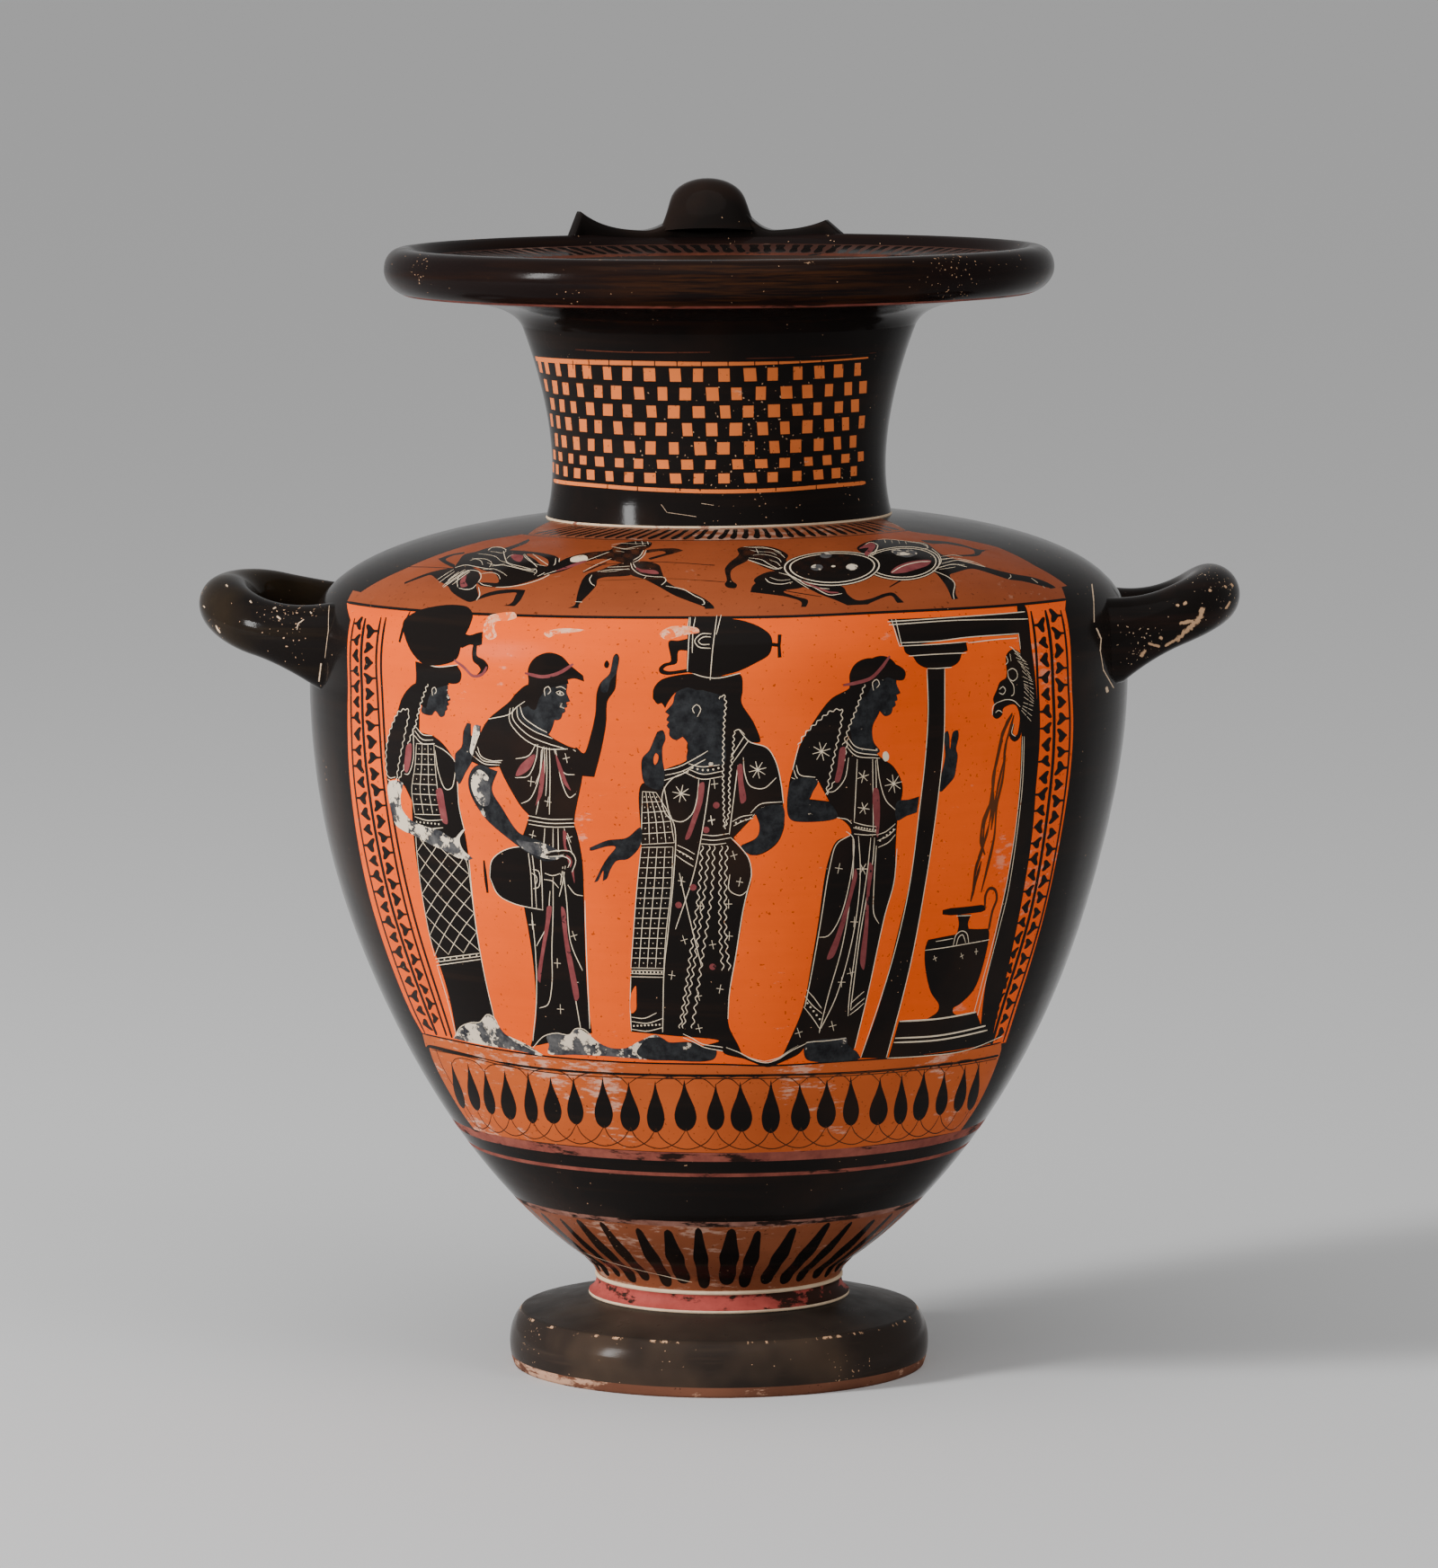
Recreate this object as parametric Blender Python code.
"""Black-figure hydria: a three-handled water jar of fired clay, in metres, +Z up.

The jar stands on its foot with its axis on Z, and the origin is where the axis meets the
surface that it stands on. The painted front faces -Y. The two lifting handles point to -X
and +X, and the pouring handle rises behind, at +Y. Foot, body, neck, mouth and handles were
joined in the wet clay and fired as one, so the jar is one solid, hollow and open at the mouth.
"""

import math

import bmesh
import bpy
from mathutils import Matrix, Vector

# Turned body: radii and heights in metres
FOOT_BASE_RADIUS = 0.0634
FOOT_SHOULDER = (0.0612, 0.0168)
STEM_BASE = (0.0398, 0.0216)
STEM_WAIST = (0.0382, 0.0248)
FOOT_SIDE_BULGE = (0.0656, 0.0050)
FOOT_EDGE_PULL = (0.0653, 0.0125)
FOOT_RING_INNER = 0.0539
FOOT_HOLLOW_HEIGHT = 0.0125
FOOT_HOLLOW_FLAT = 0.0220
FOOT_HOLLOW_EDGE = (0.0459, 0.0085)
STEM_TOP = (0.0377, 0.0282)
BELLY_FOOT = (0.0404, 0.0328)
BELLY_RADIUS = 0.1254
BELLY_HEIGHT = 0.2140
SHOULDER_TOP = (0.0530, 0.2626)
NECK_TOP = (0.0602, 0.3210)
NECK_FLARE_PULL = (0.0080, 62.0)
LIP_UNDERSIDE_PULL = (0.0758, 0.3288)
LIP_BOTTOM = (0.0958, 0.3306)
LIP_BOTTOM_PULL = (0.0994, 0.3316)
LIP_RADIUS = 0.1023
LIP_RADIUS_HEIGHT = 0.3382
LIP_PULL_DOWN = 0.0034
LIP_PULL_UP = 0.0040
CREST_OUTER = (0.0965, 0.3448)
CREST_PULL = 0.0034
CREST_WIDTH = 0.0014
MOUTH_STEP = (0.0918, 0.3416)
MOUTH_STEP_TOP = (0.0932, 0.3434)
MOUTH_SLOPE_FOOT = (0.0785, 0.3392)
WALL = 0.0052
MOUTH_FUNNEL_FOOT = 0.2980
FUNNEL_PULL_LOW = (0.0030, 0.0220)
FUNNEL_PULL_HIGH = (0.0170, 0.0040)
FLOOR_HEIGHT = 0.0370
FLOOR_RADIUS = 0.0240
FLOOR_RISE = 0.0012
FLOOR_CORNER = 0.0080
CUT_ABOVE = 0.0040
CUT_STEP = 0.0005

# How the long curves leave and meet their ends: length of pull, and direction in degrees
BELLY_PULL_LOW = (0.0614, 34.0)
BELLY_PULL_HIGH = (0.0642, 90.0)
SHOULDER_PULL_LOW = (0.0131, 90.0)
SHOULDER_PULL_HIGH = (0.0853, 174.2)
NECK_PULL_LOW = (0.0195, 106.7)
NECK_PULL_HIGH = (0.0145, 69.0)

# The potter's hand: the upper part leans up towards +X, and the belly swells towards -X
LEAN = 0.0120
LEAN_FOOT = 0.2050
LEAN_RISE = 0.0350
LEAN_FADE_FOOT = 0.2620
LEAN_FADE_RISE = 0.0800
LEAN_FADE = 0.6
BELLY_SWELL = 0.0009
SWELL_HEIGHT = 0.1550
SWELL_REACH = 0.0380

# Side handles: a round bar bent to a loop, which tilts up away from the wall
LOOP_HALF_SPAN = 0.0320
LOOP_ROOT_REACH = 0.1170
LOOP_REACH = 0.1506
LOOP_LEG_PULL = 0.0240
LOOP_TIP_PULL = 0.0190
ROOT_FLARE_LENGTH = 0.0225
ROOT_FLARE_WIDE = 0.30
LOOP_UPRIGHT_TILT = 0.2
LEFT_LOOP = dict(
    side=-1, tip_height=0.2357, bar_radius=0.0087,
    front=dict(height=0.2286, rise=-0.07, flare_up=0.12, flare_down=1.34),
    back=dict(height=0.2251, rise=0.64, flare_up=0.73, flare_down=0.70))
RIGHT_LOOP = dict(
    side=1, tip_height=0.2385, bar_radius=0.0090,
    front=dict(height=0.2270, rise=0.30, flare_up=0.56, flare_down=0.60),
    back=dict(height=0.2289, rise=-0.17, flare_up=0.07, flare_down=0.70))

# Back handle: an oval strap from the shoulder to a saddle-shaped plate on the rim
STRAP_TURN_DEG = 2.0
STRAP_HALF_WIDTH = 0.0118
STRAP_HALF_DEPTH = 0.0078
STRAP_ROOT = (0.0960, 0.2516)
STRAP_ROOT_PULL = (0.1005, 0.2696)
STRAP_OUT = (0.1118, 0.3060)
STRAP_OUT_PULL_DOWN = 0.0200
STRAP_OUT_PULL_UP = 0.0300
STRAP_TOP = 0.3620
STRAP_CROWN = 0.1040
STRAP_CROWN_PULL_OUT = 0.0075
STRAP_CROWN_PULL_IN = 0.0050
STRAP_LANDING = (0.0960, 0.3450)
STRAP_LANDING_PULL = (0.0970, 0.3500)
STRAP_FLARE_LENGTH = 0.016
STRAP_FLARE_WIDE = 0.35
STRAP_INNER_THINNING = 0.75
PLATE_TURN_DEG = 3.0
PLATE_HALF_ANGLE_DEG = 26.5
PLATE_INNER_RADIUS = 0.0935
PLATE_OUTER_RADIUS = 0.1028
PLATE_HEIGHT = 0.3456
PLATE_LEFT_HORN = 0.0064
PLATE_RIGHT_HORN = 0.0036
PLATE_LEFT_FILLET = 0.0012
PLATE_RIGHT_FILLET = 0.0026
PLATE_FILLET_START = 0.27
PLATE_FILLET_REACH = 0.20
PLATE_HORN_TIP = 0.88
PLATE_SINK = 0.0034
PLATE_TAPER = 0.0022
PLATE_BEVEL = 0.0014

# Faceting
SIDES = 52
BAR_SIDES = 12
PLATE_STEPS = 7
CAVITY_TWIST = 0.4

SHARP_ANGLE_DEG = 40

CLAY_BLACK = (0.012, 0.010, 0.009, 1.0)
GLOSS_ROUGHNESS = 0.28


def clear_scene():
    for item in list(bpy.data.objects):
        bpy.data.objects.remove(item, do_unlink=True)


def glazed_clay():
    """Fired clay under a black gloss."""
    material = bpy.data.materials.new("black_gloss")
    material.use_nodes = True
    shader = material.node_tree.nodes["Principled BSDF"]
    shader.inputs["Base Color"].default_value = CLAY_BLACK
    shader.inputs["Roughness"].default_value = GLOSS_ROUGHNESS
    shader.inputs["Metallic"].default_value = 0.0
    return material


def pull_point(point, pull):
    length, degrees = pull
    angle = math.radians(degrees)
    return (point[0] + length * math.cos(angle), point[1] + length * math.sin(angle))


def bezier(start, pull_start, pull_end, end, steps):
    """Points on a cubic curve, ends included, in any number of dimensions."""
    points = []
    for step in range(steps + 1):
        t = step / steps
        weights = ((1 - t) ** 3, 3 * (1 - t) ** 2 * t, 3 * (1 - t) * t ** 2, t ** 3)
        corners = (start, pull_start, pull_end, end)
        point = tuple(sum(w * corner[axis] for w, corner in zip(weights, corners))
                      for axis in range(len(start)))
        points.append(point)
    return points


def belly_curve(steps):
    top = (BELLY_RADIUS, BELLY_HEIGHT)
    low = pull_point(BELLY_FOOT, BELLY_PULL_LOW)
    high = pull_point(top, (-BELLY_PULL_HIGH[0], BELLY_PULL_HIGH[1]))
    return bezier(BELLY_FOOT, low, high, top, steps)


def shoulder_curve(steps):
    start = (BELLY_RADIUS, BELLY_HEIGHT)
    low = pull_point(start, SHOULDER_PULL_LOW)
    high = pull_point(SHOULDER_TOP, (-SHOULDER_PULL_HIGH[0], SHOULDER_PULL_HIGH[1]))
    return bezier(start, low, high, SHOULDER_TOP, steps)


def neck_curve(steps):
    low = pull_point(SHOULDER_TOP, NECK_PULL_LOW)
    high = pull_point(NECK_TOP, (-NECK_PULL_HIGH[0], NECK_PULL_HIGH[1]))
    return bezier(SHOULDER_TOP, low, high, NECK_TOP, steps)


def inset(points, depth):
    """The same curve, moved inwards by the wall's thickness, square to itself."""
    moved = []
    for index, (radius, height) in enumerate(points):
        before = points[max(index - 1, 0)]
        after = points[min(index + 1, len(points) - 1)]
        along = Vector((after[0] - before[0], after[1] - before[1])).normalized()
        moved.append((radius - along.y * depth, height + along.x * depth))
    return moved


def foot_outline():
    """From the middle of the hollow underside to the top of the stem."""
    hollow = bezier((0.0, FOOT_HOLLOW_HEIGHT), (FOOT_HOLLOW_FLAT, FOOT_HOLLOW_HEIGHT),
                    FOOT_HOLLOW_EDGE, (FOOT_RING_INNER, 0.0), 4)
    side = bezier((FOOT_BASE_RADIUS, 0.0), FOOT_SIDE_BULGE, FOOT_EDGE_PULL, FOOT_SHOULDER, 5)
    return hollow + side + [STEM_BASE, STEM_WAIST, STEM_TOP]


def lip_outline():
    """Underside of the mouth, and round its thick lip up to the crest."""
    underside = bezier(NECK_TOP, pull_point(NECK_TOP, NECK_FLARE_PULL), LIP_UNDERSIDE_PULL,
                       LIP_BOTTOM, 4)
    widest = (LIP_RADIUS, LIP_RADIUS_HEIGHT)
    lower = bezier(LIP_BOTTOM, LIP_BOTTOM_PULL, (LIP_RADIUS, LIP_RADIUS_HEIGHT - LIP_PULL_DOWN),
                   widest, 3)
    upper = bezier(widest, (LIP_RADIUS, LIP_RADIUS_HEIGHT + LIP_PULL_UP),
                   (CREST_OUTER[0] + CREST_PULL, CREST_OUTER[1]), CREST_OUTER, 3)
    return underside[1:] + lower[1:] + upper[1:]


def outer_outline():
    turned = foot_outline() + belly_curve(9) + shoulder_curve(11)[1:] + neck_curve(6)[1:]
    return turned + lip_outline() + [(0.0, CREST_OUTER[1])]


def cavity_outline():
    """The space inside, closed a little above the crest so that it opens the mouth."""
    belly = inset(belly_curve(7), WALL)
    side = [point for point in belly if point[1] > FLOOR_HEIGHT + FLOOR_CORNER]
    shoulder = inset(shoulder_curve(6), WALL)[1:]
    neck = [point for point in inset(neck_curve(6), WALL) if point[1] < MOUTH_FUNNEL_FOOT]
    low = neck[-1]
    funnel = bezier(low, (low[0] + FUNNEL_PULL_LOW[0], low[1] + FUNNEL_PULL_LOW[1]),
                    (MOUTH_SLOPE_FOOT[0] - FUNNEL_PULL_HIGH[0],
                     MOUTH_SLOPE_FOOT[1] - FUNNEL_PULL_HIGH[1]), MOUTH_SLOPE_FOOT, 5)
    crest_inner = CREST_OUTER[0] - CREST_WIDTH
    above = CREST_OUTER[1] + CUT_ABOVE
    mouth = [MOUTH_STEP, MOUTH_STEP_TOP, (crest_inner, CREST_OUTER[1] - CUT_STEP),
             (crest_inner, above), (0.0, above)]
    floor = [(0.0, FLOOR_HEIGHT), (FLOOR_RADIUS, FLOOR_HEIGHT + FLOOR_RISE)]
    return floor + side + shoulder + neck + funnel[1:] + mouth


def new_object(name, mesh_maker):
    mesh = bpy.data.meshes.new(name)
    shape = bmesh.new()
    mesh_maker(shape)
    bmesh.ops.triangulate(shape, faces=shape.faces)
    if shape.calc_volume(signed=True) < 0:
        bmesh.ops.reverse_faces(shape, faces=shape.faces)
    shape.to_mesh(mesh)
    shape.free()
    item = bpy.data.objects.new(name, mesh)
    bpy.context.collection.objects.link(item)
    return item


def hand_made(point):
    """Where a point of a true turned shape lies on this slightly uneven jar."""
    share = min(max((point.z - LEAN_FOOT) / LEAN_RISE, 0.0), 1.0)
    fade = 1.0 - LEAN_FADE * min(max((point.z - LEAN_FADE_FOOT) / LEAN_FADE_RISE, 0.0), 1.0)
    lean = LEAN * point.x * share * share * (3.0 - 2.0 * share) * fade
    swell = math.exp(-((point.z - SWELL_HEIGHT) / SWELL_REACH) ** 2)
    return Vector((point.x - BELLY_SWELL * swell, point.y, point.z + lean))


def turn(shape, outline, twist):
    """Close a half outline round the Z axis, with its facets turned by a share of one of them."""
    rings = []
    for radius, height in outline:
        if radius == 0.0:
            rings.append([shape.verts.new((0.0, 0.0, height))])
            continue
        angles = [math.tau * (side + twist) / SIDES for side in range(SIDES)]
        rings.append([shape.verts.new((radius * math.cos(a), radius * math.sin(a), height))
                      for a in angles])
    for low, high in zip(rings, rings[1:]):
        for side in range(SIDES):
            after = (side + 1) % SIDES
            if len(low) == 1:
                shape.faces.new((low[0], high[after], high[side]))
            elif len(high) == 1:
                shape.faces.new((low[side], low[after], high[0]))
            else:
                shape.faces.new((low[side], low[after], high[after], high[side]))
    for corner in shape.verts:
        corner.co = hand_made(corner.co)


def tube(shape, path, reaches, upright):
    """A closed bar along a path; reaches are its right, left, upper and lower depth at each point."""
    rings = []
    for index, centre in enumerate(path):
        before = path[max(index - 1, 0)]
        after = path[min(index + 1, len(path) - 1)]
        along = (Vector(after) - Vector(before)).normalized()
        across = along.cross(upright).normalized()
        square = across.cross(along)
        ring = []
        for side in range(BAR_SIDES):
            angle = math.tau * side / BAR_SIDES
            right, left, upper, lower = reaches[index]
            wide = math.cos(angle) * (right if math.cos(angle) > 0.0 else left)
            tall = math.sin(angle) * (upper if math.sin(angle) > 0.0 else lower)
            ring.append(shape.verts.new(Vector(centre) + across * wide + square * tall))
        rings.append(ring)
    for low, high in zip(rings, rings[1:]):
        for side in range(BAR_SIDES):
            after = (side + 1) % BAR_SIDES
            shape.faces.new((low[side], low[after], high[after], high[side]))
    shape.faces.new(list(reversed(rings[0])))
    shape.faces.new(rings[-1])


def flare(path, length):
    """1 at either end of the path, falling to 0 over a length from it."""
    runs = [0.0]
    for before, after in zip(path, path[1:]):
        runs.append(runs[-1] + (Vector(after) - Vector(before)).length)
    shares = []
    for run in runs:
        near = max(0.0, 1.0 - min(run, runs[-1] - run) / length)
        shares.append(near * near)
    return shares


def side_handle(name, loop):
    """A loop from one root on the wall to the other, tilted up to its tip."""
    side = loop["side"]
    tip = Vector((side * LOOP_REACH, 0.0, loop["tip_height"]))
    halves = []
    for sign, leg in ((-1, loop["front"]), (1, loop["back"])):
        root = Vector((side * LOOP_ROOT_REACH, sign * LOOP_HALF_SPAN, leg["height"]))
        outward = Vector((side, 0.0, leg["rise"])).normalized() * LOOP_LEG_PULL
        inner = Vector((tip.x, sign * LOOP_TIP_PULL, tip.z))
        halves.append(bezier(root, root + outward, inner, tip, 8))
    path = halves[0] + list(reversed(halves[1]))[1:]
    shares = flare(path, ROOT_FLARE_LENGTH)
    legs = [loop["front"] if point[1] < 0.0 else loop["back"] for point in path]
    reaches = []
    for leg, share in zip(legs, shares):
        grown = (ROOT_FLARE_WIDE, ROOT_FLARE_WIDE, leg["flare_up"], leg["flare_down"])
        reaches.append([loop["bar_radius"] * (1.0 + growth * share) for growth in grown])
    upright = Vector((-side * LOOP_UPRIGHT_TILT, 0.0, 1.0)).normalized()
    return new_object(name, lambda shape: tube(shape, path, reaches, upright))


def back_strap(name):
    """Up from the shoulder, behind the lip and over it, in the plane of its own turn."""
    reach, height = STRAP_OUT
    crown_height = STRAP_TOP - STRAP_HALF_DEPTH
    crown = (STRAP_CROWN, crown_height)
    lower = bezier(STRAP_ROOT, STRAP_ROOT_PULL, (reach, height - STRAP_OUT_PULL_DOWN),
                   STRAP_OUT, 6)
    rising = bezier(STRAP_OUT, (reach, height + STRAP_OUT_PULL_UP),
                    (STRAP_CROWN + STRAP_CROWN_PULL_OUT, crown_height), crown, 7)
    falling = bezier(crown, (STRAP_CROWN - STRAP_CROWN_PULL_IN, crown_height),
                     STRAP_LANDING_PULL, STRAP_LANDING, 3)
    outline = lower + rising[1:] + falling[1:]
    path = [Vector((0.0, reach, height)) for reach, height in outline]
    reaches = []
    for point, share in zip(path, flare(path, STRAP_FLARE_LENGTH)):
        thinner = STRAP_INNER_THINNING * share if point.z > STRAP_OUT[1] else 0.0
        wide = STRAP_HALF_WIDTH * (1.0 + STRAP_FLARE_WIDE * share)
        reaches.append((STRAP_HALF_DEPTH, STRAP_HALF_DEPTH * (1.0 - thinner), wide, wide))
    sideways = Vector((1.0, 0.0, 0.0))
    item = new_object(name, lambda shape: tube(shape, path, reaches, sideways))
    item.data.transform(Matrix.Rotation(math.radians(STRAP_TURN_DEG), 4, "Z"))
    return item


def plate_section(share, angle):
    """Cross-section of the plate at one angle; share runs from -1 to 1 across it."""
    spread = min(abs(share) / PLATE_HORN_TIP, 1.0)
    past_tip = max(0.0, abs(share) - PLATE_HORN_TIP) / (1.0 - PLATE_HORN_TIP)
    horn = PLATE_LEFT_HORN if share > 0.0 else PLATE_RIGHT_HORN
    fillet = PLATE_LEFT_FILLET if share > 0.0 else PLATE_RIGHT_FILLET
    past_strap = max(0.0, spread - PLATE_FILLET_START) / PLATE_FILLET_REACH
    rise = horn * spread ** 5 + fillet * max(0.0, 1.0 - past_strap) ** 2
    rise -= (horn + PLATE_HEIGHT - CREST_OUTER[1]) * past_tip
    top = PLATE_HEIGHT + rise
    low = CREST_OUTER[1] - PLATE_SINK
    inner = PLATE_INNER_RADIUS + PLATE_TAPER * spread ** 4
    outer = PLATE_OUTER_RADIUS - PLATE_TAPER * spread ** 4
    bevel = PLATE_BEVEL
    corners = [(inner, low), (outer - bevel, low), (outer, top - 1.6 * bevel),
               (outer - bevel, top), (inner + bevel, top), (inner, top - bevel)]
    return [(radius * math.cos(angle), radius * math.sin(angle), height)
            for radius, height in corners]


def rim_plate(name):
    """The plate under the back handle's end: low in the middle, with a horn at each end."""
    half = [PLATE_HORN_TIP * step / PLATE_STEPS for step in range(1, PLATE_STEPS + 1)]
    half += [(1.0 + PLATE_HORN_TIP) / 2, 1.0]
    shares = [-share for share in reversed(half)] + [0.0] + half

    def make(shape):
        rings = []
        for share in shares:
            angle = math.pi / 2 + math.radians(PLATE_TURN_DEG + PLATE_HALF_ANGLE_DEG * share)
            rings.append([shape.verts.new(corner) for corner in plate_section(share, angle)])
        count = len(rings[0])
        for low, high in zip(rings, rings[1:]):
            for side in range(count):
                after = (side + 1) % count
                shape.faces.new((low[side], low[after], high[after], high[side]))
        shape.faces.new(list(reversed(rings[0])))
        shape.faces.new(rings[-1])

    return new_object(name, make)


def combine(item, tool, operation):
    """Join or cut with an exact Boolean that stays on the object."""
    step = item.modifiers.new(operation.lower() + "_" + tool.name, "BOOLEAN")
    step.operation = operation
    step.solver = "EXACT"
    step.object = tool
    tool.hide_render = True
    tool.display_type = "WIRE"


def main():
    clear_scene()
    hydria = new_object("hydria", lambda shape: turn(shape, outer_outline(), 0.0))
    cavity = new_object("cavity_cutter", lambda shape: turn(shape, cavity_outline(), CAVITY_TWIST))
    left = side_handle("left_handle_guide", LEFT_LOOP)
    right = side_handle("right_handle_guide", RIGHT_LOOP)
    strap = back_strap("back_handle_guide")
    plate = rim_plate("rim_plate_guide")
    for handle in (left, right):
        combine(hydria, handle, "UNION")
    combine(hydria, cavity, "DIFFERENCE")
    for piece in (plate, strap):
        combine(hydria, piece, "UNION")
    hydria.data.materials.append(glazed_clay())
    hydria.data.shade_smooth()
    hydria.data.set_sharp_from_angle(angle=math.radians(SHARP_ANGLE_DEG))


main()
